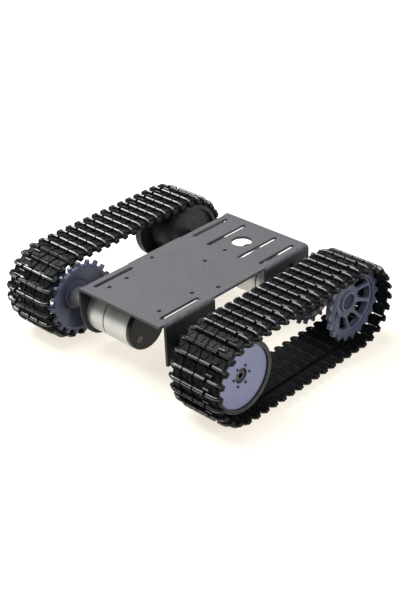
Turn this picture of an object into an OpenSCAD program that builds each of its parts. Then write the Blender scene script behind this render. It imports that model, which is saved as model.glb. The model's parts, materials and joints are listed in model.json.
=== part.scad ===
// Tracked tank chassis: a bent sheet deck, two geared motors and two plastic link tracks.
// +X is forward, +Y is the left side, +Z is up and the ground is at z = 0.
// Each sub-part is drawn for the left side. The right side is the same set turned
// half a turn about Z, so its motor sits at the front and its idler at the rear.

/* [Deck] */
// Length of the deck
deck_len = 147; // [144:1:152]
// Width over the outer faces of the side flanges
deck_w = 80; // [78:1:82]
// Width of the flat deck between the flanges
deck_mid_w = 77.4; // [76:0.1:77.6]
// Height of the deck's top face above the ground
deck_top = 54.6; // [54.4:0.1:57]
// Thickness of the sheet
sheet_t = 2; // [1.5:0.1:2]
// Depth of the flanges that carry the idlers
idler_flange_depth = 32; // [28:1:36]
// Length of the flanges that carry the idlers
idler_flange_len = 46; // [44:1:48]
// Distance from an idler flange to the nearer end of the deck
idler_flange_setback = 4.5; // [4:0.5:6]
// Length of the flanges that carry the motors
motor_flange_len = 45.5; // [44:0.5:48]

/* [Mounting] */
// Width of the slots in the deck
slot_w = 3.4; // [3.2:0.1:4]
// Length of the four corner slots
corner_slot_len = 36; // [30:1:38]
// Distance along the deck between the corner slots' centres
corner_slot_dx = 96; // [90:1:98]
// Distance across the deck between the corner slots' centres
corner_slot_dy = 64; // [60:1:66]
// Diameter of the small round holes
screw_hole_d = 3.2; // [3:0.1:3.6]
// Diameter of the cable hole
cable_hole_d = 15; // [10:0.5:18]

/* [Track] */
// Distance between two hinge pins
link_pitch = 8.46; // [8.2:0.01:8.6]
// Width of the track
track_w = 44.8; // [44:0.1:46]
// Distance from the middle of the chassis to the track's inner edge
track_in_y = 59.2; // [59:0.1:61]
// Number of links in one track
links = 48; // [48:1:48]
// Height of the grip bars above the hinge pins
bar_h = 4; // [3.6:0.1:4.4]
// Diameter of the hinge pins
track_pin_d = 1.2; // [1:0.1:1.4]

/* [Wheels] */
// Distance from the middle of the chassis to each wheel axle
wheel_x = 57.2; // [57:0.1:57.4]
// Number of teeth on a sprocket
sprocket_teeth = 20; // [20:1:20]
// Number of spokes in the outer sprocket disc
spokes = 9; // [6:1:10]
// Radius of the idler's rims
idler_r = 25.3; // [24:0.1:25.3]
// Depth of the dish in the idler's face
idler_dish = 2.7; // [1.5:0.1:3]

/* [Motor] */
// Outer diameter of the gearbox and the motor can
motor_d = 33; // [32.6:0.1:34]
// Distance from the motor's axis to the output shaft
shaft_offset = 5; // [4.8:0.1:5.2]
// Diameter of the output shaft
shaft_d = 6; // [5:0.5:6]
// Gear module
gear_mod = 0.4; // [0.39:0.01:0.4]

/* [Hidden] */
// The slack loop of pins has two straight runs and two round ends. It touches the
// sprocket's pitch circle at the top and hangs a little below the wheels.
step = 360 / sprocket_teeth;
pitch_r = link_pitch / (2 * sin(step / 2));
pin_step = link_pitch + 0.01;
run_len = 2 * wheel_x;
end_r = (links * pin_step - 2 * run_len) / (2 * PI);
axle_h = 2 * end_r - pitch_r + bar_h;
loop_z = bar_h + end_r;
tooth_tip_r = pitch_r + 0.5;
tooth_root_r = pitch_r - 2;
disc_t = 2.6;
hub_plate_r = 11.2;
hub_lip_r = 7.4;
hub_recess_r = 5.8;
tooth_clear = 0.3;
track_out_y = track_in_y + track_w;
outer_disc_y = track_in_y + 31.6;
inner_disc_y = track_in_y - tooth_clear - disc_t;
groove_y = outer_disc_y - tooth_clear;
groove_w = disc_t + 2 * tooth_clear;
// Blocks along the width of a link, measured from its inner edge. A bar block carries a
// grip bar over the hinge at +X. A rear knuckle takes the next link's pin at -X.
bar_blocks = [[2.9, 10.9], [14.2, 20.8], [24, 31], [34.9, 41.9]];
rear_knuckles = [[0, 2.6], [11.2, 13.9], [21.1, 23.7], [42.2, 44.8]];
bar_ends = [[0.2, 10.9], [14.2, 20.8], [24, 31], [34.9, 44.6]];
bar_t = 1.5;
bar_foot = 1.85;
bar_bow = 4.2;
pad_t = 2.3;
knuckle_r = 1.5;
pin_bore_r = track_pin_d / 2 + 0.05;
web_half = link_pitch / 2 - knuckle_r - 0.33;
web_t = 1.8;
// Deck section
flange_out = deck_w / 2;
flange_in = flange_out - sheet_t;
bend_r = 3;
motor_flange_r = 19.5;
// Motor, set back from the wheel's axle by the gearbox's offset
offset_angle = 150;
motor_r = motor_d / 2;
motor_x = -wheel_x - shaft_offset * cos(offset_angle);
motor_z = axle_h - shaft_offset * sin(offset_angle);
face_y = flange_in - 2.5;
case_y = 22.4;
can_y = 21.4;
cap_y = -1;
cap_t = 3.4;
boss_r = 6;
boss_len = 5.6;
motor_screw_r = 13;
motor_screws_n = 4;
// Gear train: three meshes, each in its own layer
pinion_teeth = 12;
wheel_teeth = 30;
output_teeth = 36;
first_layer = 23.4;
second_layer = 26.9;
third_layer = 30.4;
layer_t = 2.8;
pressure = 25;
mesh_r = gear_mod * (pinion_teeth + wheel_teeth) / 2;
output_mesh_r = gear_mod * (pinion_teeth + output_teeth) / 2;
second_r = 8;
second_angle = offset_angle
    - acos((second_r^2 + shaft_offset^2 - output_mesh_r^2) / (2 * second_r * shaft_offset));
first_angle = second_angle - acos(second_r / (2 * mesh_r));
first_at = mesh_r * [cos(first_angle), sin(first_angle)];
second_at = second_r * [cos(second_angle), sin(second_angle)];
output_at = shaft_offset * [cos(offset_angle), sin(offset_angle)];
arbor_r = 0.9;
// Idler, measured from its middle plane
idler_y = track_in_y + 19;
idler_half = 18.6;
bearing_r = 5;
bearing_w = 4;
axle_r = 2.5;
face_disc_t = 1.2;
bearing_out = idler_half - idler_dish - face_disc_t;
// Sprocket hub and the metal coupling between it and the output shaft
hub_r = 8.4;
coupling_r = 7;
coupling_y = 46.5;
hex_start = 66;
hub_joint = 80;
hex_end = 84.6;
hex_r = 10 / sqrt(3);

// ---- shared shapes ----

// Turns the left set into the right one.
module other_side() rotate([0, 0, 180]) children();

module both_sides() {
    children();
    other_side() children();
}

// Stands a shape drawn along Z on the Y axis at (x, y, z): X stays X and Y becomes Z.
module along_y(x, y, z) translate([x, y, z]) rotate([90, 0, 0]) mirror([0, 0, 1]) children();

module rod(r, y0, y1, x = 0, z = 0, fn = 48) along_y(x, y0, z) cylinder(r = r, h = y1 - y0, $fn = fn);

module tube(r_out, r_in, y0, y1, x = 0, z = 0) along_y(x, y0, z) linear_extrude(y1 - y0) difference() {
    circle(r_out, $fn = 72);
    circle(r_in, $fn = 48);
}

// Places children, drawn around the Y axis, on one of the three main axes.
module at_sprocket() translate([-wheel_x, 0, axle_h]) children();
module at_idler() translate([wheel_x, 0, axle_h]) children();
module at_motor() translate([motor_x, 0, motor_z]) children();

// ---- deck ----

// Section of one side of the deck: half the top, the bend and the flange.
module deck_section(depth) {
    translate([0, -sheet_t]) square([flange_out - bend_r, sheet_t]);
    translate([flange_in, -depth]) square([sheet_t, depth - bend_r]);
    translate([flange_out - bend_r, -bend_r]) intersection() {
        difference() {
            circle(bend_r, $fn = 48);
            circle(bend_r - sheet_t, $fn = 48);
        }
        square(bend_r);
    }
}

// A stretch of the deck from the middle to the +Y flange, from x0 over len.
module deck_stretch(x0, len, depth) translate([x0, 0, deck_top])
    rotate([90, 0, 90]) linear_extrude(len) deck_section(depth);

module idler_flange() deck_stretch(deck_len / 2 - idler_flange_setback - idler_flange_len,
    idler_flange_len, idler_flange_depth);

// Side view of the motor flange, with a round lower end about the motor.
module motor_flange_outline() {
    translate([-deck_len / 2, motor_z]) square([motor_flange_len, deck_top - motor_z]);
    translate([motor_x, motor_z]) circle(motor_flange_r, $fn = 96);
}

module motor_flange() intersection() {
    deck_stretch(-deck_len / 2, motor_flange_len, deck_top - motor_z + motor_flange_r);
    translate([0, deck_w, 0]) rotate([90, 0, 0]) linear_extrude(deck_w) motor_flange_outline();
}

// Flat middle of the deck and the short strip in front of the idler flange.
module flat_deck() {
    translate([-deck_len / 2 + motor_flange_len, 0, deck_top - sheet_t])
        cube([deck_len - motor_flange_len - idler_flange_setback - idler_flange_len,
            deck_mid_w / 2, sheet_t]);
    translate([deck_len / 2 - idler_flange_setback, 0, deck_top - sheet_t])
        cube([idler_flange_setback, deck_mid_w / 2, sheet_t]);
}

module slot(x, y, len) translate([x, y, deck_top - sheet_t - 1]) linear_extrude(sheet_t + 2) {
    square([len - slot_w, slot_w], center = true);
    for (s = [-1, 1]) translate([s * (len - slot_w) / 2, 0]) circle(d = slot_w, $fn = 32);
}

module deck_hole(x, y, d) translate([x, y, deck_top - sheet_t - 1]) cylinder(d = d, h = sheet_t + 2, $fn = 32);

// Holes of one motor flange and one idler flange, on the left side.
module flange_holes() {
    at_sprocket() rod(boss_r + 0.2, flange_in - 1, flange_out + 1);
    at_motor() motor_screw_places() rod(1.6, flange_in - 1, flange_out + 1, fn = 24);
    at_idler() rod(axle_r + 0.1, flange_in - 1, flange_out + 1);
}

module chassis_plate() color("dimgray") difference() {
    both_sides() {
        idler_flange();
        motor_flange();
        flat_deck();
    }
    both_sides() flange_holes();
    for (x = [-1, 1], y = [-1, 1])
        slot(x * corner_slot_dx / 2, y * corner_slot_dy / 2, corner_slot_len);
    for (y = [-15, 15]) slot(-47, y, 40);
    for (at = [[59, 24], [59, -24], [43, -24], [28.5, 24], [11.5, 32], [11.5, -32], [-9, 0], [-29.5, 0]])
        deck_hole(at[0], at[1], screw_hole_d);
    deck_hole(-47, 0, cable_hole_d);
}

// ---- track ----

// Place of hinge pin t on the loop, seen from the side, with z from the loop's middle.
// The pins are counted from above the idler towards the sprocket.
function pin_at(t) = let (at = t * pin_step, arc = PI * end_r)
    at < run_len ? [wheel_x - at, end_r]
    : at < run_len + arc ? on_end(-wheel_x, 90, at - run_len)
    : at < 2 * run_len + arc ? [at - run_len - arc - wheel_x, -end_r]
    : on_end(wheel_x, -90, at - 2 * run_len - arc);
function on_end(x, start, arc) = let (a = start + arc / end_r * 180 / PI)
    [x + end_r * cos(a), end_r * sin(a)];

// Side view of a knuckle with its arm to the web, on the +X side.
module knuckle_outline() difference() {
    union() {
        translate([link_pitch / 2, 0]) circle(knuckle_r, $fn = 32);
        translate([web_half - 0.5, -web_t / 2]) square([link_pitch / 2 - web_half + 0.5, web_t]);
    }
    translate([link_pitch / 2, 0]) circle(pin_bore_r, $fn = 24);
}

module knuckle(span) along_y(0, track_in_y + span[0], 0) linear_extrude(span[1] - span[0]) knuckle_outline();

// Height of the bar at distance d from the link's inner edge: flat in the middle and
// bowed down towards both ends.
function bar_top(d) = bar_h - bar_bow * pow(max(0, abs(2 * d / track_w - 1) - 0.4), 2);

// Grip bar above the +X hinge. Between its block and its end it reaches over the next
// link's end knuckle.
module grip_bar(block, ends) {
    d = [for (k = [0 : 6]) ends[0] + (ends[1] - ends[0]) * k / 6];
    translate([(link_pitch - bar_t) / 2, track_in_y, 0]) rotate([90, 0, 90]) linear_extrude(bar_t) {
        polygon([[ends[0], bar_foot], for (x = d) [x, bar_top(x)], [ends[1], bar_foot]]);
        translate([block[0], 1]) square([block[1] - block[0], bar_foot]);
    }
}

// A raised pad behind the bar that narrows towards -X.
module grip_pad(block) translate([0, track_in_y, web_t / 2 - 0.2]) linear_extrude(pad_t - web_t / 2 + 0.2)
    polygon([[link_pitch / 2 - 0.5, block[0]], [link_pitch / 2 - 0.5, block[1]],
        [-web_half, block[1] - 1.9], [-web_half, block[0] + 1.9]]);

// Flat body of a link, parted by the tooth groove.
module link_web() difference() {
    translate([-web_half, track_in_y + 0.8, -web_t / 2]) cube([2 * web_half, track_w - 1.6, web_t]);
    translate([-web_half - 1, groove_y, -web_t]) cube([2 * web_half + 2, groove_w, 2 * web_t]);
}

// A strip over the tooth groove, on two feet, that ties the link's outer end to the rest.
module bridge() translate([0.6, groove_y - 1.2, web_t / 2 - 0.2]) difference() {
    cube([1.7, groove_w + 2.4, pad_t - web_t / 2 + 0.2]);
    translate([-1, 1.2, -1]) cube([4, groove_w, 1.5]);
}

// One track link lying flat: X along the track, Z outward, hinge axes at z = 0.
module track_link() {
    for (i = [0 : 3]) {
        knuckle(bar_blocks[i]);
        mirror([1, 0, 0]) knuckle(rear_knuckles[i]);
        grip_bar(bar_blocks[i], bar_ends[i]);
        grip_pad(bar_blocks[i]);
    }
    link_web();
    bridge();
}

// Puts children on the link between pins t and t + 1.
module on_link(t) {
    a = pin_at(t);
    b = pin_at((t + 1) % links);
    d = a - b;
    translate([(a[0] + b[0]) / 2, 0, loop_z + (a[1] + b[1]) / 2])
        rotate([0, -atan2(d[1], d[0]), 0]) children();
}

module track_links() color("#151517") for (t = [0 : links - 1]) on_link(t) track_link();

// Each hinge has one pin on either side of the tooth groove.
module track_pins() color("silver") for (t = [0 : links - 1]) let (p = pin_at(t))
    for (span = [[track_in_y + 0.4, groove_y - 0.5], [groove_y + groove_w + 0.5, track_out_y - 0.4]])
        rod(track_pin_d / 2, span[0], span[1], p[0], loop_z + p[1], 24);

// ---- sprocket ----

// Toothed ring outline. A tooth has half the width root_w at its root and ends in a
// narrower tip with cut corners.
module toothed_ring(r_in, root_r, root_w, tip_w) difference() {
    union() {
        circle(root_r, $fn = 120);
        for (i = [0 : sprocket_teeth - 1]) rotate(i * step)
            polygon([[root_r - 0.6, -root_w], [tooth_tip_r - 0.6, -tip_w], [tooth_tip_r, 0.5 - tip_w],
                [tooth_tip_r, tip_w - 0.5], [tooth_tip_r - 0.6, tip_w], [root_r - 0.6, root_w]]);
    }
    circle(r_in, $fn = 96);
}

module hex_hole(y0, y1) along_y(0, y0, 0) cylinder(r = hex_r + 0.05, h = y1 - y0, $fn = 6);

// A spoke that slopes from the rim down to the sunken hub.
module spoke() rotate([90, 0, 0]) linear_extrude(2.4, center = true)
    polygon([[hub_r - 1, -8.6], [hub_r - 1, -5.2], [21, 0], [21, -3]]);

module sprocket_outer() color("slategray") at_sprocket() difference() {
    union() {
        along_y(0, outer_disc_y, 0) linear_extrude(disc_t) toothed_ring(20.4, tooth_root_r, 2.1, 1.1);
        tube(23.2, 22.4, outer_disc_y + disc_t - 0.2, outer_disc_y + disc_t + 0.6);
        tube(22, 20.4, outer_disc_y - 4, outer_disc_y + 0.2);
        rod(hub_r, hub_joint, outer_disc_y + disc_t - 5, fn = 72);
        rod(hub_plate_r, outer_disc_y + disc_t - 7.6, outer_disc_y + disc_t - 5.6, fn = 72);
        rod(hub_lip_r, outer_disc_y + disc_t - 6, outer_disc_y + disc_t - 4.2, fn = 72);
        along_y(0, outer_disc_y + disc_t - 0.3, 0) for (i = [0 : spokes - 1])
            rotate(37 + i * 360 / spokes) spoke();
    }
    rod(hub_recess_r, outer_disc_y + disc_t - 6.4, outer_disc_y + disc_t, fn = 72);
    rod(1.6, hub_joint - 1, outer_disc_y + disc_t, fn = 24);
    hex_hole(hub_joint - 1, hex_end + 0.2);
}

// Dished wall of the inner disc, as a section: radius, then distance from the disc's face.
module inner_dish() rotate_extrude($fn = 96)
    polygon([[hub_r - 0.4, 9.5], [22.6, 0.8], [22.6, 2.8], [hub_r - 0.4, 11.9]]);

module sprocket_inner() color("slategray") at_sprocket() difference() {
    union() {
        along_y(0, inner_disc_y, 0) linear_extrude(disc_t) toothed_ring(22.2, tooth_root_r - 0.7, 1.5, 1.1);
        along_y(0, inner_disc_y, 0) inner_dish();
        rod(hub_r + 2, inner_disc_y + 6, inner_disc_y + 13, fn = 72);
        rod(hub_r, inner_disc_y + 4, hub_joint, fn = 72);
    }
    rod(coupling_r + 0.05, inner_disc_y, hex_start);
    hex_hole(hex_start - 1, hub_joint + 1);
}

module coupling() color("gainsboro") at_sprocket() difference() {
    union() {
        rod(coupling_r, coupling_y, hex_start);
        along_y(0, hex_start - 0.2, 0) cylinder(r = hex_r, h = hex_end - hex_start + 0.2, $fn = 6);
    }
    rod(shaft_d / 2 + 0.01, coupling_y - 1, 61.2);
    rod(1.5, 75, hex_end + 1, fn = 24);
    for (a = [0, 90]) rotate([0, a, 0]) translate([0, 51, 0])
        cylinder(r = 1.5, h = coupling_r + 1, $fn = 24);
}

module grub_screws() color("#303033") at_sprocket() for (a = [0, 90])
    rotate([0, a, 0]) translate([0, 51, shaft_d / 2 + 0.1]) difference() {
        cylinder(r = 1.48, h = 3.6, $fn = 24);
        translate([0, 0, 2.2]) cylinder(r = 0.85, h = 2, $fn = 6);
    }

// Push-in plug that closes the sprocket's hub recess.
module sprocket_cap() color("slategray") at_sprocket() {
    rod(1.48, 77, 87.5, fn = 24);
    rod(hub_recess_r - 0.1, outer_disc_y + disc_t - 6.4, outer_disc_y + disc_t - 5.6, fn = 72);
}

// ---- idler ----

// Section of one wheel half: radius, then distance from the idler's middle plane.
module idler_half_section() {
    translate([15, 0]) square([2, bearing_out - 3.4]);
    polygon([[bearing_r, bearing_out - 2.4], [22.6, idler_half - 5.6], [22.6, idler_half - 3.2],
        [bearing_r, bearing_out]]);
    translate([22.4, idler_half - 6]) square([idler_r - 22.4, 6]);
    translate([bearing_r, bearing_out - bearing_w - 1.5]) square([3, bearing_w + 1]);
    translate([bearing_r - 0.9, bearing_out - bearing_w - 1.5]) square([1.4, 1.5]);
    translate([15, bearing_out - 5]) square([2, 3.8]);
}

module idler_wheel_half() along_y(0, idler_y, 0) rotate_extrude($fn = 120) idler_half_section();

// Six small holes round the bearing.
module disc_screw_places() for (a = [0 : 60 : 300]) rotate([0, a, 0]) translate([7.3, 0, 0]) children();

module idler_outer() color("#3a3a3e") at_idler() difference() {
    idler_wheel_half();
    disc_screw_places() rod(0.55, idler_y + bearing_out - 4, idler_y + bearing_out + 1, fn = 16);
}

module idler_inner() color("#3a3a3e") at_idler()
    translate([0, 2 * idler_y, 0]) mirror([0, 1, 0]) idler_wheel_half();

// Thin dished disc that covers the outer half's web.
module idler_face_disc() color("#8a8dac") at_idler() difference() {
    along_y(0, idler_y, 0) rotate_extrude($fn = 120)
        polygon([[bearing_r + 0.3, bearing_out + 0.08], [22.35, idler_half - 3.1],
            [22.35, idler_half - 1.4], [bearing_r + 0.3, bearing_out + face_disc_t]]);
    disc_screw_places() rod(0.7, idler_y + bearing_out - 1, idler_y + bearing_out + 3, fn = 16);
}

module idler_disc_screws() color("#222225") at_idler() disc_screw_places() {
    rod(0.5, idler_y + bearing_out - 3.4, idler_y + bearing_out + 1.5, fn = 16);
    rod(0.85, idler_y + bearing_out + 1.45, idler_y + bearing_out + 1.95, fn = 16);
}

// The outer and the inner bearing's faces nearest the middle plane.
bearing_faces = [idler_y + bearing_out - bearing_w, idler_y - bearing_out];

module bearing_outer_rings() color("silver") at_idler() for (y = bearing_faces) {
    tube(bearing_r - 0.02, 4.1, y, y + bearing_w);
    tube(4.2, 3.45, y + 0.2, y + 0.5);
    tube(4.2, 3.45, y + bearing_w - 0.5, y + bearing_w - 0.2);
}

module bearing_inner_rings() color("silver") at_idler() for (y = bearing_faces)
    tube(3.4, axle_r + 0.01, y, y + bearing_w);

module idler_axles() color("#26262a") both_sides() at_idler() difference() {
    union() {
        rod(axle_r, 32.5, bearing_faces[0] + bearing_w + 0.8);
        rod(4, bearing_faces[0] + bearing_w + 0.6, bearing_faces[0] + bearing_w + 2.8);
    }
    along_y(0, bearing_faces[0] + bearing_w + 1.4, 0) cylinder(r = 1.75, h = 2, $fn = 6);
}

module idler_spacers() color("gainsboro") both_sides() at_idler() {
    tube(4, axle_r + 0.05, flange_out, bearing_faces[1] - 0.5);
    tube(3.3, axle_r + 0.05, bearing_faces[1] - 0.5, bearing_faces[1]);
    tube(3.3, axle_r + 0.05, bearing_faces[1] + bearing_w, bearing_faces[0]);
    tube(3.3, axle_r + 0.05, bearing_faces[0] + bearing_w, bearing_faces[0] + bearing_w + 0.6);
    tube(5, axle_r + 0.05, flange_in - 0.8, flange_in);
}

module idler_nuts() color("silver") both_sides() at_idler() difference() {
    along_y(0, flange_in - 4.8, 0) cylinder(r = 8 / sqrt(3), h = 4, $fn = 6);
    rod(axle_r + 0.01, flange_in - 6, flange_in);
}

// ---- gears ----

function involute_deg(r, base) = let (a = acos(min(1, base / r))) tan(a) * 180 / PI - a;

// Half the angle that a tooth covers at radius r, with a little backlash.
function half_tooth(teeth, r) = let (p = gear_mod * teeth / 2, base = p * cos(pressure))
    90 / teeth - 0.035 / p * 180 / PI + involute_deg(p, base) - involute_deg(max(r, base), base);

module gear_outline(teeth) {
    p = gear_mod * teeth / 2;
    root = p - 1.1 * gear_mod;
    tip = p + 0.8 * gear_mod;
    base = max(root, p * cos(pressure));
    radii = [root, for (i = [0 : 3]) base + (tip - base) * i / 3];
    polygon([for (k = [0 : teeth - 1]) each [
        for (r = radii) polar(r, k * 360 / teeth - half_tooth(teeth, r)),
        for (i = [len(radii) - 1 : -1 : 0]) polar(radii[i], k * 360 / teeth + half_tooth(teeth, radii[i]))
    ]]);
}
function polar(r, a) = r * [cos(a), sin(a)];

// Turn of a driven gear so that its gap faces the driver's tooth, given the driver's turn
// and the direction from the driver's centre to the driven gear's.
function meshed(driver_teeth, driver_turn, driven_teeth, dir) =
    dir + 180 + 180 / driven_teeth - (driver_turn - dir) * driver_teeth / driven_teeth;
function direction(a, b) = atan2(b[1] - a[1], b[0] - a[0]);

first_turn = meshed(pinion_teeth, 0, wheel_teeth, first_angle);
second_turn = meshed(pinion_teeth, first_turn, wheel_teeth, direction(first_at, second_at));
output_turn = meshed(pinion_teeth, second_turn, output_teeth, direction(second_at, output_at));

// A gear in the motor's frame at place at, with its bore.
module gear(teeth, turn, at, y0, y1, bore) at_motor() along_y(at[0], y0, at[1])
    linear_extrude(y1 - y0) difference() {
        rotate(turn) gear_outline(teeth);
        circle(bore, $fn = 32);
    }

module motor_pinion() color("goldenrod")
    gear(pinion_teeth, 0, [0, 0], first_layer, first_layer + layer_t, 1.01);

// A wheel and a pinion in one piece, turning on an arbor.
module double_gear(at, turn, layer, pinion_end) {
    gear(wheel_teeth, turn, at, layer, layer + layer_t, arbor_r + 0.05);
    gear(pinion_teeth, turn, at, layer + layer_t - 0.1, pinion_end, arbor_r + 0.05);
}

module first_gear() color("gold") double_gear(first_at, first_turn, first_layer, second_layer + layer_t + 0.2);
module second_gear() color("gold") double_gear(second_at, second_turn, second_layer, third_layer + 4);
module output_gear() color("silver")
    gear(output_teeth, output_turn, output_at, third_layer, third_layer + 3.6, shaft_d / 2 + 0.01);

module gear_pins() color("silver") both_sides() at_motor() for (at = [first_at, second_at])
    rod(arbor_r, case_y, face_y, at[0], at[1], 32);

// ---- gearbox and motor ----

module motor_screw_places() for (i = [0 : motor_screws_n - 1])
    rotate([0, -(offset_angle + 45 + i * 360 / motor_screws_n), 0]) translate([motor_screw_r, 0, 0]) children();

module gearbox_case() color("gainsboro") at_motor()
    tube(motor_r, motor_r - 1.3, case_y, face_y);

module gearbox_face() color("lightgray") difference() {
    union() {
        at_motor() rod(motor_r, face_y, flange_in, fn = 96);
        at_sprocket() rod(boss_r, flange_in - 0.2, flange_in + boss_len);
    }
    at_sprocket() rod(4.6, face_y - 1, flange_in + boss_len + 1);
    at_motor() motor_screw_places() rod(1.5, face_y + 0.4, flange_in + 1, fn = 24);
}

module output_bushes() color("goldenrod") both_sides() at_sprocket()
    tube(4.6, shaft_d / 2 + 0.04, face_y, flange_in + boss_len);

module output_shaft() color("silver") at_sprocket() rod(shaft_d / 2, third_layer - 0.2, 61);

module gearbox_back_plate() color("#202024") at_motor() difference() {
    rod(motor_r - 0.5, can_y, case_y, fn = 96);
    rod(2.6, can_y - 1, case_y + 1);
}

module motor_can() color("gainsboro") at_motor() difference() {
    union() {
        rod(motor_r, cap_y, can_y, fn = 96);
        rod(motor_r + 0.2, cap_y, cap_y + 3.6, fn = 96);
    }
    rod(motor_r - 1, cap_y - 1, can_y - 1.2, fn = 96);
    rod(2.6, can_y - 2, can_y + 1);
}

// Cap with a rounded edge and a spigot that enters the can.
module motor_end_cap() color("#1c1c1f") at_motor() difference() {
    union() {
        along_y(0, cap_y - cap_t, 0) rotate_extrude($fn = 96) {
            square([motor_r - 1.2, cap_t]);
            translate([0, 1.2]) square([motor_r, cap_t - 1.2]);
            translate([motor_r - 1.2, 1.2]) circle(1.2, $fn = 32);
        }
        tube(motor_r - 1.05, motor_r - 3, cap_y - 0.1, cap_y + 2);
    }
    rod(1.05, cap_y - cap_t + 0.8, cap_y + 1, fn = 24);
    for (s = [-1, 1]) translate([s * 7.8, cap_y - cap_t / 2, s * 5.5])
        cube([1.1, cap_t + 2, 3.1], center = true);
}

module motor_terminals() color("#e6dcc0") both_sides() at_motor() for (s = [-1, 1])
    translate([s * 7.8, 0, s * 5.5]) difference() {
        union() {
            translate([0, cap_y - cap_t + 0.8, 0]) cube([1, 3.6, 3], center = true);
            tube(2.3, 1.3, cap_y - cap_t - 0.5, cap_y - cap_t);
        }
        translate([0, cap_y - cap_t - 1, 0]) cube([0.4, 1.6, 1.6], center = true);
    }

module motor_magnets() color("#4a4a50") at_motor() difference() {
    tube(motor_r - 1.02, 12, 3, 18);
    translate([0, 10, 0]) cube([12, 40, 60], center = true);
}

module motor_armature() color("#9a5a32") at_motor() {
    rod(1, cap_y - cap_t + 1, first_layer + layer_t, fn = 32);
    difference() {
        rod(10.5, 4.5, 17, fn = 72);
        for (a = [0 : 60 : 300]) rotate([0, a, 0]) translate([9.2, 10, 0])
            cube([4, 20, 1.6], center = true);
    }
    rod(3.4, 1.2, 4.6);
}

// Pan-head screws from outside the flange into the gearbox face.
module motor_screws() color("#303033") both_sides() at_motor() motor_screw_places() difference() {
    union() {
        rod(1.48, face_y + 0.6, flange_out + 0.2, fn = 24);
        rod(2.7, flange_out, flange_out + 1.7, fn = 32);
    }
    translate([0, flange_out + 1.5, 0]) cube([3, 1, 0.6], center = true);
    translate([0, flange_out + 1.5, 0]) cube([0.6, 1, 3], center = true);
}

chassis_plate();
motor_screws();
motor_terminals();
gear_pins();
output_bushes();
idler_axles();
idler_spacers();
idler_nuts();
track_links();  // left_track_links
track_pins();  // left_track_pins
sprocket_outer();  // left_sprocket_outer
sprocket_inner();  // left_sprocket_inner
coupling();  // left_coupling
grub_screws();  // left_grub_screws
sprocket_cap();  // left_sprocket_cap
idler_outer();  // left_idler_outer
idler_inner();  // left_idler_inner
idler_face_disc();  // left_idler_face_disc
idler_disc_screws();  // left_idler_disc_screws
bearing_outer_rings();  // left_bearing_outer_rings
bearing_inner_rings();  // left_bearing_inner_rings
gearbox_case();  // left_gearbox_case
gearbox_face();  // left_gearbox_face
gearbox_back_plate();  // left_gearbox_back_plate
motor_can();  // left_motor_can
motor_end_cap();  // left_motor_end_cap
motor_magnets();  // left_motor_magnets
motor_armature();  // left_motor_armature
motor_pinion();  // left_motor_pinion
first_gear();  // left_first_gear
second_gear();  // left_second_gear
output_gear();  // left_output_gear
output_shaft();  // left_output_shaft
other_side() track_links();  // right_track_links
other_side() track_pins();  // right_track_pins
other_side() sprocket_outer();  // right_sprocket_outer
other_side() sprocket_inner();  // right_sprocket_inner
other_side() coupling();  // right_coupling
other_side() grub_screws();  // right_grub_screws
other_side() sprocket_cap();  // right_sprocket_cap
other_side() idler_outer();  // right_idler_outer
other_side() idler_inner();  // right_idler_inner
other_side() idler_face_disc();  // right_idler_face_disc
other_side() idler_disc_screws();  // right_idler_disc_screws
other_side() bearing_outer_rings();  // right_bearing_outer_rings
other_side() bearing_inner_rings();  // right_bearing_inner_rings
other_side() gearbox_case();  // right_gearbox_case
other_side() gearbox_face();  // right_gearbox_face
other_side() gearbox_back_plate();  // right_gearbox_back_plate
other_side() motor_can();  // right_motor_can
other_side() motor_end_cap();  // right_motor_end_cap
other_side() motor_magnets();  // right_motor_magnets
other_side() motor_armature();  // right_motor_armature
other_side() motor_pinion();  // right_motor_pinion
other_side() first_gear();  // right_first_gear
other_side() second_gear();  // right_second_gear
other_side() output_gear();  // right_output_gear
other_side() output_shaft();  // right_output_shaft
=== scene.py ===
import json
import math

import bmesh
import bpy
from mathutils import Matrix, Vector


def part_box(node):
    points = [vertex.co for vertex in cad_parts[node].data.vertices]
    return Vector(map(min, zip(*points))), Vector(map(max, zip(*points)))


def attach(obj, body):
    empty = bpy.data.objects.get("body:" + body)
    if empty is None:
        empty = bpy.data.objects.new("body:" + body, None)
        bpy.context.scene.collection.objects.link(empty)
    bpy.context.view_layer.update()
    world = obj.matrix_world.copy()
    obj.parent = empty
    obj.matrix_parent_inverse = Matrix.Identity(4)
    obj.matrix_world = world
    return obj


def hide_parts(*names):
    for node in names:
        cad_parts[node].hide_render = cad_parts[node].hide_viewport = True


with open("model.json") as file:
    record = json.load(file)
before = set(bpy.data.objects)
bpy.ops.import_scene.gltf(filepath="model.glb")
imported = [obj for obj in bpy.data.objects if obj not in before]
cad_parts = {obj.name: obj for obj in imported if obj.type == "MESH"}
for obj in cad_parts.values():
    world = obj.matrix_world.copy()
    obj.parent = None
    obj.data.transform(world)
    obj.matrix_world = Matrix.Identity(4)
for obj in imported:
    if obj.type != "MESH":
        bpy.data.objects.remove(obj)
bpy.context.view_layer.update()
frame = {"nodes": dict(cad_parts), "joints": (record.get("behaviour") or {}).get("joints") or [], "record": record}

# Looks of the tracked tank chassis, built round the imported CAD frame. Everything is in
# metres in the CAD's frame: +X forward, +Y to the left, +Z up, ground at z = 0.
# Each piece is made for the left side and turned half a turn about Z for the right side.

MM = 0.001
SIDES = {"left": Matrix.Identity(4), "right": Matrix.Rotation(math.pi, 4, "Z")}
JOINTS = {j["name"]: Vector(j["pos_m"]) for j in frame["joints"]}
SPROCKET = JOINTS["left_sprocket_spin"]
IDLER = JOINTS["left_idler_spin"]
DECK_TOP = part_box("chassis_plate")[1].z
SCENE = bpy.context.scene


# ---- building blocks ----

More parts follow.
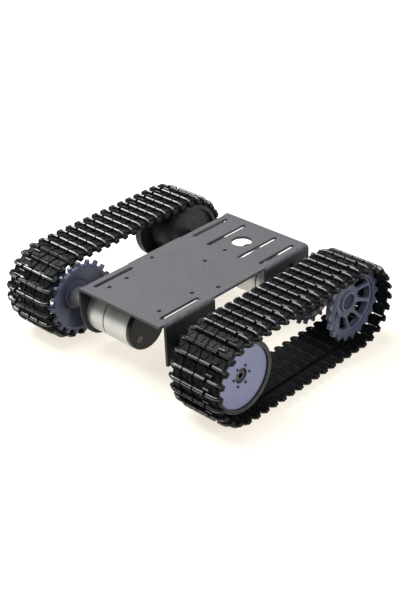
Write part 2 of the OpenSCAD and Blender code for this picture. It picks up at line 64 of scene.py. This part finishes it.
def arc(x, y, r, start, end, steps):
    """Points of a round stretch, with angles in degrees."""
    angles = [math.radians(start + (end - start) * i / steps) for i in range(steps + 1)]
    return [(x + r * math.cos(a), y + r * math.sin(a)) for a in angles]


def circle(x, y, r, points):
    return arc(x, y, r, 0, 360 - 360 / points, points - 1)


def polar(r, degrees):
    """The point at radius r in the direction given in degrees."""
    return r * math.cos(math.radians(degrees)), r * math.sin(math.radians(degrees))


def prism(outline, place, depth):
    """A closed prism: place(u, v, w) turns an outline point and a depth into a position in mm."""
    bm = bmesh.new()
    rings = [[bm.verts.new([c * MM for c in place(u, v, w)]) for u, v in outline] for w in depth]
    n = len(outline)
    for i in range(n):
        bm.faces.new([rings[0][i], rings[0][(i + 1) % n], rings[1][(i + 1) % n], rings[1][i]])
    bm.faces.new(rings[0][::-1])
    bm.faces.new(rings[1])
    bmesh.ops.recalc_face_normals(bm, faces=bm.faces)
    return bm


def loft(sections):
    """A closed solid through rings of points in mm that all have the same count."""
    bm = bmesh.new()
    rings = [[bm.verts.new([c * MM for c in p]) for p in ring] for ring in sections]
    n = len(rings[0])
    for low, high in zip(rings, rings[1:]):
        for i in range(n):
            bm.faces.new([low[i], low[(i + 1) % n], high[(i + 1) % n], high[i]])
    bm.faces.new(rings[0][::-1])
    bm.faces.new(rings[-1])
    bmesh.ops.recalc_face_normals(bm, faces=bm.faces)
    return bm


def lathe(section, centre, steps=96):
    """A closed ring about the Y axis through centre, from a section of (radius, y) in mm."""
    bm = bmesh.new()
    cx, cz = centre.x, centre.z
    rings = []
    for k in range(steps):
        a = 2 * math.pi * k / steps
        rings.append([bm.verts.new((cx + r * MM * math.cos(a), y * MM, cz + r * MM * math.sin(a)))
                      for r, y in section])
    n = len(section)
    for k in range(steps):
        here, there = rings[k], rings[(k + 1) % steps]
        for i in range(n):
            bm.faces.new([here[i], here[(i + 1) % n], there[(i + 1) % n], there[i]])
    bmesh.ops.recalc_face_normals(bm, faces=bm.faces)
    return bm


def to_object(bm, name):
    mesh = bpy.data.meshes.new(name)
    bm.to_mesh(mesh)
    bm.free()
    made = bpy.data.objects.new(name, mesh)
    SCENE.collection.objects.link(made)
    return made


def shade(obj, smooth):
    for polygon in obj.data.polygons:
        polygon.use_smooth = smooth


def bevel(obj, width, segments=2, angle=32):
    """Rounds the sharp edges of obj, which is shaded smooth."""
    mod = obj.modifiers.new("bevel", "BEVEL")
    mod.width = width * MM
    mod.segments = segments
    mod.limit_method = "ANGLE"
    mod.angle_limit = math.radians(angle)
    mod.harden_normals = True
    shade(obj, True)


def flat_faces(obj):
    """Lets large flat faces keep their own normal beside rounded edges."""
    mod = obj.modifiers.new("normals", "WEIGHTED_NORMAL")
    mod.weight = 90
    mod.keep_sharp = True


def weld(obj, distance=0.002):
    """Joins points that lie closer together than distance, in mm."""
    mod = obj.modifiers.new("weld", "WELD")
    mod.merge_threshold = distance * MM


def baked(obj):
    """The mesh of obj with its modifiers applied. The object itself goes."""
    graph = bpy.context.evaluated_depsgraph_get()
    mesh = bpy.data.meshes.new_from_object(obj.evaluated_get(graph))
    bpy.data.objects.remove(obj)
    return mesh


def combined(base, others, operation):
    """base joined with, or cut by, other closed solids. Takes and leaves Blender objects."""
    group = bpy.data.collections.new("operands")
    for other in others:
        group.objects.link(other)
        SCENE.collection.objects.unlink(other)
    mod = base.modifiers.new("combine", "BOOLEAN")
    mod.operation = operation
    mod.solver = "EXACT"
    mod.operand_type = "COLLECTION"
    mod.collection = group
    mod.use_self = operation == "UNION"
    name = base.name
    mesh = baked(base)
    for other in others:
        bpy.data.objects.remove(other)
    bpy.data.collections.remove(group)
    joined = bpy.data.objects.new(name, mesh)
    SCENE.collection.objects.link(joined)
    return joined


def union(solids, name):
    parts = [to_object(bm, name) for bm in solids]
    return combined(parts[0], parts[1:], "UNION")


def cut(obj, solids):
    return combined(obj, [to_object(bm, "cut") for bm in solids], "DIFFERENCE")


def copies(mesh, places):
    """A mesh in the making that holds one copy of mesh for each matrix."""
    bm = bmesh.new()
    for place in places:
        before = len(bm.verts)
        bm.from_mesh(mesh)
        bm.verts.ensure_lookup_table()
        bmesh.ops.transform(bm, matrix=place, verts=bm.verts[before:])
    return bm


def finish_piece(obj, side, body, material, nodes):
    """Turns a left-hand piece to its side, gives it its material and ties it to the frame."""
    obj.data.transform(SIDES[side])
    obj.data.materials.append(material)
    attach(obj, body)
    if nodes:
        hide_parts(*nodes)


# ---- materials ----

class Shader:
    """A Principled material whose colour, roughness and bump come from noise in object space."""

    def __init__(self, name, metallic=0.0, specular=0.5, coat=0.0):
        self.material = bpy.data.materials.new(name)
        self.material.use_nodes = True
        self.tree = self.material.node_tree
        self.shader = self.tree.nodes["Principled BSDF"]
        self.shader.inputs["Metallic"].default_value = metallic
        self.shader.inputs["Specular IOR Level"].default_value = specular
        self.shader.inputs["Coat Weight"].default_value = coat
        self.where = self.node("ShaderNodeTexCoord").outputs["Object"]

    def node(self, kind):
        return self.tree.nodes.new(kind)

    def link(self, out, into):
        self.tree.links.new(out, into)

    def stretched(self, scale):
        """Coordinates squeezed along some axes, for brushed or streaked grain."""
        mapping = self.node("ShaderNodeMapping")
        mapping.inputs["Scale"].default_value = scale
        self.link(self.where, mapping.inputs["Vector"])
        return mapping.outputs["Vector"]

    def noise(self, scale, detail=3.0, coords=None):
        tex = self.node("ShaderNodeTexNoise")
        tex.inputs["Scale"].default_value = scale
        tex.inputs["Detail"].default_value = detail
        self.link(coords or self.where, tex.inputs["Vector"])
        return tex.outputs["Fac"]

    def between(self, value, low, high, start=0.3, end=0.7):
        """Maps a noise value from start..end to low..high."""
        ranged = self.node("ShaderNodeMapRange")
        ranged.inputs["From Min"].default_value = start
        ranged.inputs["From Max"].default_value = end
        ranged.inputs["To Min"].default_value = low
        ranged.inputs["To Max"].default_value = high
        self.link(value, ranged.inputs["Value"])
        return ranged.outputs["Result"]

    def mixed(self, value, dark, light):
        """A colour between dark and light. Either may be a colour or an output."""
        mix = self.node("ShaderNodeMix")
        mix.data_type = "RGBA"
        self.link(value, mix.inputs["Factor"])
        for colour, socket in ((dark, mix.inputs[6]), (light, mix.inputs[7])):
            if isinstance(colour, tuple):
                socket.default_value = (*colour, 1.0)
            else:
                self.link(colour, socket)
        return mix.outputs[2]

    def colour(self, output):
        self.link(output, self.shader.inputs["Base Color"])

    def rough(self, output):
        self.link(output, self.shader.inputs["Roughness"])

    def bump(self, *layers):
        """Bump layers: (height output, strength, distance in mm), the first one lowest."""
        normal = None
        for height, strength, distance in layers:
            bump = self.node("ShaderNodeBump")
            bump.inputs["Strength"].default_value = strength
            bump.inputs["Distance"].default_value = distance * MM
            self.link(height, bump.inputs["Height"])
            if normal:
                self.link(normal, bump.inputs["Normal"])
            normal = bump.outputs["Normal"]
        self.link(normal, self.shader.inputs["Normal"])


def plastic(name, dark, light, rough, specular=0.5):
    """Moulded plastic: slow colour flow, fine pits, scuffs that are lighter."""
    s = Shader(name, specular=specular)
    flow = s.between(s.noise(60.0, 2.0), 0.0, 1.0)
    scuff = s.between(s.noise(420.0, 5.0), 0.0, 1.0, 0.62, 0.78)
    body = s.mixed(flow, dark, light)
    scuffed = tuple(min(1.0, c * 1.5 + 0.01) for c in light)
    s.colour(s.mixed(scuff, body, scuffed))
    s.rough(s.between(s.noise(260.0, 4.0), rough * 0.8, rough * 1.25))
    s.bump((s.noise(900.0), 0.5, 0.02), (s.noise(90.0, 1.0), 0.25, 0.1))
    return s.material


def metal(name, dark, light, rough, streak=(1.0, 1.0, 1.0), grain=700.0, depth=0.01, sheen=1.0):
    """Bare or plated metal with streaks and stains. A dull plating has a sheen below 1."""
    s = Shader(name, metallic=sheen)
    lines = s.noise(grain, 3.0, s.stretched(streak))
    stain = s.between(s.noise(45.0, 3.0), 0.0, 1.0)
    s.colour(s.mixed(stain, dark, light))
    s.rough(s.between(lines, rough * 0.75, rough * 1.3))
    s.bump((lines, 0.4, depth))
    return s.material


def deck_paint():
    """Satin coated sheet: fine metallic grain and faint mottling, with painted shade darkening the bent flanges
    below the deck top.
    """
    flange_from, deck_from = DECK_TOP - 3.2 * MM, DECK_TOP - 1.2 * MM
    s = Shader("deck_paint", metallic=0.1, specular=0.25)
    fine = s.noise(1300.0, 3.0)
    slow = s.between(s.noise(35.0, 3.0), 0.0, 1.0)
    body = s.mixed(slow, (0.066, 0.066, 0.074), (0.080, 0.079, 0.088))
    speck = s.between(fine, 0.0, 1.0, 0.42, 0.66)
    # Painted shade: below the deck's top face the colour blends to a much darker one, for the shade that falls on
    # the bent flanges.
    height = s.node("ShaderNodeSeparateXYZ")
    s.link(s.where, height.inputs["Vector"])
    out_of_painted_shade = s.between(height.outputs["Z"], 0.0, 1.0, flange_from, deck_from)
    deck = s.mixed(speck, body, (0.150, 0.150, 0.163))
    flange_painted_shade = s.mixed(speck, (0.018, 0.019, 0.021), (0.038, 0.039, 0.043))
    s.colour(s.mixed(out_of_painted_shade, flange_painted_shade, deck))
    s.rough(s.between(s.noise(180.0, 4.0), 0.42, 0.55))
    s.bump((fine, 0.35, 0.012))
    return s.material


def link_plastic():
    """Glossy black moulding with flow marks, dust in places and faint scratches."""
    s = Shader("link_plastic", specular=0.5, coat=0.3)
    s.shader.inputs["Coat Roughness"].default_value = 0.12
    flow = s.between(s.noise(110.0, 3.0), 0.0, 1.0)
    dust = s.between(s.noise(650.0, 6.0), 0.0, 0.5, 0.58, 0.80)
    body = s.mixed(flow, (0.0035, 0.004, 0.005), (0.008, 0.009, 0.010))
    s.colour(s.mixed(dust, body, (0.028, 0.030, 0.032)))
    s.rough(s.between(s.noise(380.0, 4.0), 0.20, 0.32))
    s.bump((s.noise(1500.0), 0.2, 0.008), (s.noise(140.0, 1.0), 0.3, 0.05))
    return s.material


def pad_plastic():
    """Matt, fine-textured moulding on the links' pads and undersides, dusty in places."""
    s = Shader("pad_plastic", specular=0.15)
    flow = s.between(s.noise(130.0, 3.0), 0.0, 1.0)
    dust = s.between(s.noise(800.0, 6.0), 0.0, 0.6, 0.55, 0.80)
    body = s.mixed(flow, (0.0025, 0.0035, 0.004), (0.006, 0.0075, 0.008))
    s.colour(s.mixed(dust, body, (0.022, 0.024, 0.026)))
    s.rough(s.between(s.noise(420.0, 4.0), 0.48, 0.66))
    s.bump((s.noise(1700.0), 0.5, 0.03), (s.noise(160.0, 1.0), 0.3, 0.06))
    return s.material


# One material for each material slot of the record.
MATERIALS = {
    "deck_sheet": deck_paint(),
    "track_plastic": link_plastic(),
    "steel": metal("bright_steel", (0.42, 0.42, 0.44), (0.62, 0.62, 0.64), 0.26),
    "sprocket_plastic": plastic("slate_plastic", (0.092, 0.108, 0.170), (0.128, 0.148, 0.228), 0.36),
    "disc_plastic": plastic("lavender_plastic", (0.300, 0.325, 0.520), (0.335, 0.362, 0.565), 0.40),
    "wheel_plastic": plastic("wheel_plastic", (0.018, 0.019, 0.021), (0.030, 0.031, 0.034), 0.46,
                             specular=0.25),
    "alloy": metal("machined_alloy", (0.66, 0.65, 0.66), (0.86, 0.85, 0.86), 0.34, (1.0, 9.0, 1.0),
                   sheen=0.5),
    "black_steel": metal("black_steel", (0.030, 0.030, 0.034), (0.055, 0.055, 0.06), 0.38),
    "zinc": metal("zinc_plate", (0.58, 0.59, 0.57), (0.72, 0.73, 0.70), 0.40, (0.6, 12.0, 0.6), 500.0,
                  0.008, 0.7),
    "black_plastic": plastic("cap_plastic", (0.010, 0.011, 0.011), (0.018, 0.019, 0.019), 0.26,
                             specular=0.3),
    "ivory": plastic("terminal_card", (0.58, 0.47, 0.27), (0.72, 0.62, 0.40), 0.45),
    "brass": metal("brass", (0.52, 0.36, 0.13), (0.70, 0.52, 0.22), 0.28),
    "magnet": plastic("ferrite", (0.03, 0.03, 0.032), (0.05, 0.05, 0.052), 0.5),
    "winding": metal("winding", (0.32, 0.12, 0.05), (0.48, 0.2, 0.09), 0.3, (1.0, 18.0, 1.0)),
}
PAD_PLASTIC = pad_plastic()
# Painted shade: a darker slate for the sprocket cap, standing in for the shade inside the hub recess.
RECESS_PAINTED_SHADE = plastic("recess_painted_shade", (0.030, 0.037, 0.062), (0.044, 0.054, 0.085), 0.5,
                         specular=0.25)
# Painted highlight: a lighter grey for the idler's raised rim lines, standing in for the glints on the rim's
# edges.
RIM_HIGHLIGHT = plastic("rim_painted_highlight", (0.10, 0.10, 0.105), (0.16, 0.16, 0.165), 0.34)
# CAD nodes, by the end of their names, that get a darker material than their slot's: painted shade on the sprocket
# cap deep in its hub recess, and the own darker finish of the idler spacers and bearing shields.
DARK_FINISH_AND_SHADE_NODES = {
    "sprocket_cap": RECESS_PAINTED_SHADE,
    "idler_spacers": metal("dull_spacer", (0.10, 0.10, 0.11), (0.17, 0.17, 0.18), 0.4),
    "bearing_outer_rings": plastic("bearing_shield", (0.012, 0.012, 0.014), (0.02, 0.02, 0.023), 0.4),
}


def paint_cad():
    """Every CAD node that stays gets its slot's material and rounded edges."""
    for row in frame["record"]["subparts"]:
        obj = frame["nodes"][row["node"]]
        obj.data.materials.clear()
        material = MATERIALS[row["material_slot"]]
        for ending, darker in DARK_FINISH_AND_SHADE_NODES.items():
            if row["node"].endswith(ending):
                material = darker
        obj.data.materials.append(material)
        weld(obj)
        bevel(obj, 0.15, 2)
        flat_faces(obj)


# ---- track links ----

# Sizes in mm. Heights count from the hinge axes, widths from the track's inner edge.
LINKS = 48
PITCH = 8.46
HALF = PITCH / 2
PIN_STEP = PITCH + 0.01
TRACK_W = 44.8
KNUCKLE_R = 1.5
WEB_HALF = 2.4
WEB_Z = 0.9
EDGE_INSET = 0.8
EDGE_NOTCH = 2.1
PAD_TOP = 1.8
PAD_RIM = 0.75
PAD_SUNK = 0.45
PAD_TAPER = 1.9
BAR_H = 4.0
BAR_FOOT = 1.3
BAR_SECTION = ((-1.15, 0.95), (-0.8, 0.42), (-0.08, 0), (0.08, 0), (0.8, 0.42), (1.15, 0.95))
BAR_STEPS = 16
SHOULDER = 7.0
SHOULDER_DROP = 4.4
GROOVE = (31.3, 34.5)
BAR_BLOCKS = ((2.9, 10.9), (14.2, 20.8), (24.0, 31.0), (34.9, 41.9))
REAR_KNUCKLES = ((0.0, 2.6), (11.2, 13.9), (21.1, 23.7), (42.2, 44.8))
BAR_ENDS = ((0.1, 11.9), (13.1, 21.8), (23.0, 31.5), (34.0, 44.7))


def along_width(u, v, w):
    """Side-view outline (x, height) pushed along the width."""
    return (u, w, v)


def flat_down(u, v, w):
    """Plan outline (x, width) given a height."""
    return (u, v, w)


def knuckle(span, sign):
    """A hinge knuckle with its arm to the link's body, at the +X or -X end."""
    arm = WEB_HALF - 0.6
    outline = arc(HALF, 0, KNUCKLE_R, -140, 140, 10) + [(arm, WEB_Z), (arm, -WEB_Z)]
    return prism([(sign * x, z) for x, z in outline], along_width, span)


def bar_top(d):
    """Height of the bar at d from the inner edge: a staple with elliptic shoulders."""
    edge = min(d, TRACK_W - d, SHOULDER)
    return BAR_H - SHOULDER_DROP * (1 - math.sqrt(1 - (1 - edge / SHOULDER) ** 2))


def grip_bar(ends, block):
    """Ridge over the hinge: a narrow crest with sloping sides, whose foot is lower on its block."""
    sections = []
    for k in range(BAR_STEPS + 1):
        d = ends[0] + (ends[1] - ends[0]) * k / BAR_STEPS
        top = bar_top(d)
        over_block = block[0] - 0.05 <= d <= block[1] + 0.05
        foot = min(top - 1.2, WEB_Z if over_block else PAD_TOP - 0.05)
        ring = [(-BAR_FOOT, foot)] + [(x, top - drop) for x, drop in BAR_SECTION] + [(BAR_FOOT, foot)]
        sections.append([(HALF + x, d, z) for x, z in ring])
    return loft(sections)


def bar_core(block):
    """Joins the ridge to the knuckle below it."""
    outline = [(HALF - 1.2, 0.6), (HALF + 1.1, 0.6), (HALF + 0.85, 2.2), (HALF - 0.85, 2.2)]
    return prism(outline, along_width, block)


def grip_pad(block):
    """Raised tread pad behind a bar, narrower towards -X."""
    low, high = block
    plan = [(HALF - 0.5, low), (HALF - 0.5, high), (-WEB_HALF, high - PAD_TAPER),
            (-WEB_HALF, low + PAD_TAPER)]
    return prism(plan, flat_down, (0.5, PAD_TOP))


def pad_groove(block):
    """Small block cut out of a pad's top so that its edge stands up as a rim."""
    low, high = block[0] + PAD_RIM, block[1] - PAD_RIM
    front, rear, taper = HALF - 1.5, -WEB_HALF + 0.7, PAD_TAPER - 0.3
    plan = [(front, low), (front, high), (rear, high - taper), (rear, low + taper)]
    return prism(plan, flat_down, (PAD_TOP - PAD_SUNK, PAD_TOP + 1))


def link_web(edge, inside):
    """Flat web from one edge of the track to its groove. The edge is notched between the bars."""
    step = EDGE_NOTCH if edge < inside else -EDGE_NOTCH
    plan = [(-WEB_HALF, inside), (-WEB_HALF, edge), (-1.3, edge), (-0.6, edge + step),
            (WEB_HALF, edge + step), (WEB_HALF, inside)]
    return prism(plan if step < 0 else plan[::-1], flat_down, (-WEB_Z, WEB_Z))


def bridge():
    """Web over the tooth groove, thin enough underneath for the teeth to pass."""
    low, high = GROOVE
    outline = [(low - 1.2, 0.7), (low, 0.7), (low, 0.3), (high, 0.3), (high, 0.7), (high + 1.2, 0.7),
               (high + 1.2, PAD_TOP - 0.3), (low - 1.2, PAD_TOP - 0.3)]
    return prism(outline, lambda u, v, w: (w, u, v), (-WEB_HALF, HALF + 0.9))


def strap():
    """Narrow glossy strap across that web, behind the gap in the bar."""
    low, high = GROOVE
    outline = [(0.5, 1.0), (0.6, 2.5), (0.9, 2.8), (1.5, 2.8), (1.9, 2.55), (2.1, 1.0)]
    return prism(outline, along_width, (low - 0.9, high + 0.9))


def one_link():
    """One link lying flat, X along the track: material 0 is its glossy bars, 1 its matt rest."""
    solids = [link_web(EDGE_INSET, GROOVE[0]), link_web(TRACK_W - EDGE_INSET, GROOVE[1]),
              bridge(), strap()]
    for block, ends, rear in zip(BAR_BLOCKS, BAR_ENDS, REAR_KNUCKLES):
        solids += [knuckle(block, 1), knuckle(rear, -1), grip_pad(block), bar_core(block),
                   grip_bar(ends, block)]
    made = cut(union(solids, "link"), [pad_groove(block) for block in BAR_BLOCKS])
    weld(made, 0.02)
    bevel(made, 0.15, 1, 35)
    mesh = baked(made)
    for polygon in mesh.polygons:
        on_bar = polygon.center.z > PAD_TOP * MM + 0.01 * MM or polygon.center.x > (HALF + 0.3) * MM
        polygon.material_index = 0 if on_bar else 1
    return mesh


def pin_place(t):
    """Side view (x, z) in mm of hinge pin t, counted from above the idler to the sprocket."""
    half_run = IDLER.x / MM
    run = 2 * half_run
    end_r = (LINKS * PIN_STEP - 2 * run) / (2 * math.pi)
    turn = math.pi * end_r
    mid = BAR_H + end_r
    at = (t % LINKS) * PIN_STEP
    if at < run:
        return half_run - at, mid + end_r
    if at < run + turn:
        a = math.pi / 2 + (at - run) / end_r
        return -half_run + end_r * math.cos(a), mid + end_r * math.sin(a)
    if at < 2 * run + turn:
        return at - run - turn - half_run, mid - end_r
    a = -math.pi / 2 + (at - 2 * run - turn) / end_r
    return half_run + end_r * math.cos(a), mid + end_r * math.sin(a)


def track(side, link, inner_edge):
    """All links of one track as one piece."""
    places = []
    for t in range(LINKS):
        (ax, az), (bx, bz) = pin_place(t), pin_place(t + 1)
        middle = Vector(((ax + bx) / 2 * MM, inner_edge, (az + bz) / 2 * MM))
        turn = Matrix.Rotation(-math.atan2(az - bz, ax - bx), 4, "Y")
        places.append(Matrix.Translation(middle) @ turn)
    obj = to_object(copies(link, places), side + "_links")
    shade(obj, False)
    finish_piece(obj, side, "chassis", MATERIALS["track_plastic"],
                 [side + "_track_links"])
    obj.data.materials.append(PAD_PLASTIC)


def make_tracks():
    link = one_link()
    inner_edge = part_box("left_track_links")[0].y
    for side in SIDES:
        track(side, link, inner_edge)


# ---- drive sprocket ----

# Radii and widths in mm, angles in degrees.
TEETH = 20
TIP_R = 27.5
TIP_ROUND = 0.6
GAP_AT = 26.1
GAP_R = 1.95
PIT_AT = 23.95
PIT_R = 0.28
RIM_BORE = 20.4
SPOKES = 9
FIRST_SPOKE = 37
SPOKE_HALF = {"inner": 1.25, "outer": 1.15}
WINDOW_OUT = 19.7
WINDOW_ROUND = 1.6
FACE_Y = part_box("left_sprocket_outer")[1].y / MM - 0.6
DISC_T = 2.6
HUB_BACK = 80.0
HUB_R = 8.4
PLATE_R = 11.2
LIP_R = 7.4
RECESS_R = 5.8


def round_axle(axle):
    """Places a side-view outline about a wheel's axle, with the depth along the width."""
    return lambda u, v, w: (u + axle.x / MM, w, v + axle.z / MM)


def toothed_rim(low, high):
    """A ring of teeth with small round tips and round gaps between them."""
    outline = []
    for i in range(TEETH):
        tip = i * 360 / TEETH
        outline += arc(*polar(TIP_R - TIP_ROUND, tip), TIP_ROUND, tip - 70, tip + 70, 4)
        gap = tip + 180 / TEETH
        outline += arc(*polar(GAP_AT, gap), GAP_R, gap - 100, gap - 260, 7)
    solid = to_object(prism(outline, round_axle(SPROCKET), (low, high)), "toothed")
    return cut(solid, [prism(circle(0, 0, RIM_BORE, 96), round_axle(SPROCKET), (low - 1, high + 1))])


def window(at, inner, outer):
    """Cutter for one opening between two spokes, with rounded corners."""
    half_in = 180 / SPOKES - math.degrees(math.asin(SPOKE_HALF["inner"] / inner))
    half_out = 180 / SPOKES - math.degrees(math.asin(SPOKE_HALF["outer"] / outer))
    corners = ((inner, -half_in), (outer, -half_out), (outer, 0), (outer, half_out), (inner, half_in))
    outline = [polar(r, at + a) for r, a in corners]
    bm = prism(outline, round_axle(SPROCKET), (FACE_Y - 16, FACE_Y + 5))
    upright = [e for e in bm.edges if abs(e.verts[0].co.y - e.verts[1].co.y) > 10 * MM]
    bmesh.ops.bevel(bm, geom=upright, offset=WINDOW_ROUND * MM, segments=3, profile=0.5, affect="EDGES")
    return bm


def make_sprocket_outer(side):
    """Spoked drive wheel: dished spokes, deep rim wall, two face ridges, pitted tooth roots."""
    face = FACE_Y
    low = face - DISC_T
    sections = {
        "wall": [(22.0, low + 0.3), (RIM_BORE, low + 0.3), (RIM_BORE, low - 4), (22.0, low - 4)],
        "inner ridge": [(RIM_BORE, face - 0.3), (21.3, face - 0.3), (21.1, face + 0.4), (20.5, face + 0.4)],
        "outer ridge": [(22.4, face - 0.3), (23.5, face - 0.3), (23.2, face + 0.55), (22.6, face + 0.55)],
        "hub": [(RECESS_R, face - 6.8), (HUB_R, face - 6.8), (HUB_R, HUB_BACK), (RECESS_R, HUB_BACK)],
        "lip": [(RECESS_R, face - 6.7), (RECESS_R, face - 4.2), (LIP_R - 0.2, face - 4.2),
                (LIP_R, face - 4.5), (LIP_R + 0.2, face - 6.7)],
    }
    dish = [(RECESS_R, face - 5.6), (PLATE_R, face - 5.6), (12.4, face - 5.0), (20.9, face - 0.7),
            (20.9, face - 3.2), (12.4, face - 7.2), (PLATE_R, face - 7.6), (RECESS_R, face - 7.6)]
    openings = [window(FIRST_SPOKE + (k + 0.5) * 360 / SPOKES, PLATE_R + 0.5, WINDOW_OUT)
                for k in range(SPOKES)]
    web = cut(to_object(lathe(dish, SPROCKET), "web"), openings)
    rim = toothed_rim(low, face)
    rings = [to_object(lathe(section, SPROCKET), name) for name, section in sections.items()]
    wheel = combined(web, [rim] + rings, "UNION")
    pits = [circle(*polar(PIT_AT, (i + 0.5) * 360 / TEETH), PIT_R, 8) for i in range(TEETH)]
    wheel = cut(wheel, [prism(pit, round_axle(SPROCKET), (face - 0.8, face + 1)) for pit in pits])
    wheel.name = side + "_drive_wheel"
    weld(wheel, 0.01)
    bevel(wheel, 0.22, 2)
    flat_faces(wheel)
    finish_piece(wheel, side, side + "_sprocket", MATERIALS["sprocket_plastic"],
                 [side + "_sprocket_outer"])


# ---- idler ----

AXLE_R = 2.5
AXLE_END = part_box("left_bearing_outer_rings")[1].y / MM + 0.55
AXLE_START = 32.5
AXLE_CHAMFER = 0.25
SOCKET_R = 1.75
RIM_RIDGES = ((2.5, 2.3, 1.9, 1.7), (0.7, 0.6, 0.25, 0.05))


def make_idler_axles():
    """Both axles, each with a chamfered end flush in its bearing and a hex socket."""
    core = 0.02
    section = [(core, AXLE_START), (AXLE_R, AXLE_START), (AXLE_R, AXLE_END - AXLE_CHAMFER),
               (AXLE_R - AXLE_CHAMFER, AXLE_END), (core, AXLE_END)]
    socket = prism(circle(0, 0, SOCKET_R, 6), round_axle(IDLER), (AXLE_END - 2, AXLE_END + 1))
    axle = cut(to_object(lathe(section, IDLER, 48), "axle"), [socket])
    both = to_object(copies(baked(axle), SIDES.values()), "idler_axle_pins")
    bevel(both, 0.1, 1)
    finish_piece(both, "left", "chassis", MATERIALS["black_steel"], ["idler_axles"])


def make_idler_lip(side):
    """Two raised lines round the outer rim of the idler, at RIM_RIDGES in from its edge, in a lighter grey that
    paints the highlights on the rim's edges.
    """
    low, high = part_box("left_idler_outer")
    face = high.y / MM
    r = (high.z - low.z) / 2 / MM
    heights = (face - 0.4, face + 0.3, face + 0.3, face - 0.4)
    ridges = []
    for insets in RIM_RIDGES:
        section = [(r - inset, y) for inset, y in zip(insets, heights)]
        ridges.append(to_object(lathe(section, IDLER, 120), "ridge"))
    lip = combined(ridges[0], ridges[1:], "UNION")
    lip.name = side + "_idler_rim_lines"
    shade(lip, True)
    finish_piece(lip, side, side + "_idler", RIM_HIGHLIGHT, [])


# ---- stage, camera and light ----

def make_floor():
    size = 3.0
    mesh = bpy.data.meshes.new("floor")
    mesh.from_pydata([(-size, -size, 0), (size, -size, 0), (size, size, 0), (-size, size, 0)], [],
                     [(0, 1, 2, 3)])
    floor = bpy.data.objects.new("floor", mesh)
    SCENE.collection.objects.link(floor)
    # It throws no diffuse light on the object, so that the shaded sides stay dark.
    floor.visible_diffuse = False
    s = Shader("floor_paper")
    s.colour(s.mixed(s.noise(2.0), (0.36, 0.355, 0.345), (0.40, 0.395, 0.385)))
    s.shader.inputs["Roughness"].default_value = 0.9
    s.shader.inputs["Emission Color"].default_value = (1.0, 0.93, 0.82, 1.0)
    s.shader.inputs["Emission Strength"].default_value = 0.77
    mesh.materials.append(s.material)


def make_camera():
    """A long lens from ahead on the left, looking down at the deck."""
    right = Vector((-0.6944, 0.7185, -0.0394))
    up = Vector((-0.3895, -0.3294, 0.8601))
    back = Vector((0.6050, 0.6126, 0.5086))
    place = Vector((0.5268, 0.5364, 0.4705))
    camera = bpy.data.objects.new("camera", bpy.data.cameras.new("camera"))
    SCENE.collection.objects.link(camera)
    SCENE.camera = camera
    rows = [(right[i], up[i], back[i], place[i]) for i in range(3)]
    camera.matrix_world = Matrix((*rows, (0, 0, 0, 1)))
    camera.data.lens = 74.35


def softbox(name, place, target, size, energy, colour=(1.0, 1.0, 1.0)):
    light = bpy.data.lights.new(name, "AREA")
    light.shape = "RECTANGLE"
    light.size, light.size_y = size
    light.energy = energy
    light.color = colour
    obj = bpy.data.objects.new(name, light)
    obj.location = place
    obj.rotation_euler = (Vector(target) - Vector(place)).to_track_quat("-Z", "Y").to_euler()
    SCENE.collection.objects.link(obj)


def make_light():
    world = bpy.data.worlds.new("studio")
    SCENE.world = world
    world.use_nodes = True
    world.node_tree.nodes["Background"].inputs["Color"].default_value = (0.97, 0.98, 1.0, 1.0)
    world.node_tree.nodes["Background"].inputs["Strength"].default_value = 0.16
    softbox("overhead", (0.05, -0.30, 1.1), (0, 0, 0.03), (1.0, 0.7), 16.0)
    softbox("crest_light", (0.15, -1.02, 1.05), (0, 0, 0.05), (0.8, 0.4), 15.0)
    softbox("left_fill", (0.1, 1.3, 0.9), (0, 0, 0.03), (0.9, 0.9), 11.0, (1.0, 0.99, 0.97))
    SCENE.view_settings.view_transform = "Standard"


paint_cad()
make_tracks()
for side in SIDES:
    make_sprocket_outer(side)
    make_idler_lip(side)
make_idler_axles()
make_floor()
make_camera()
make_light()
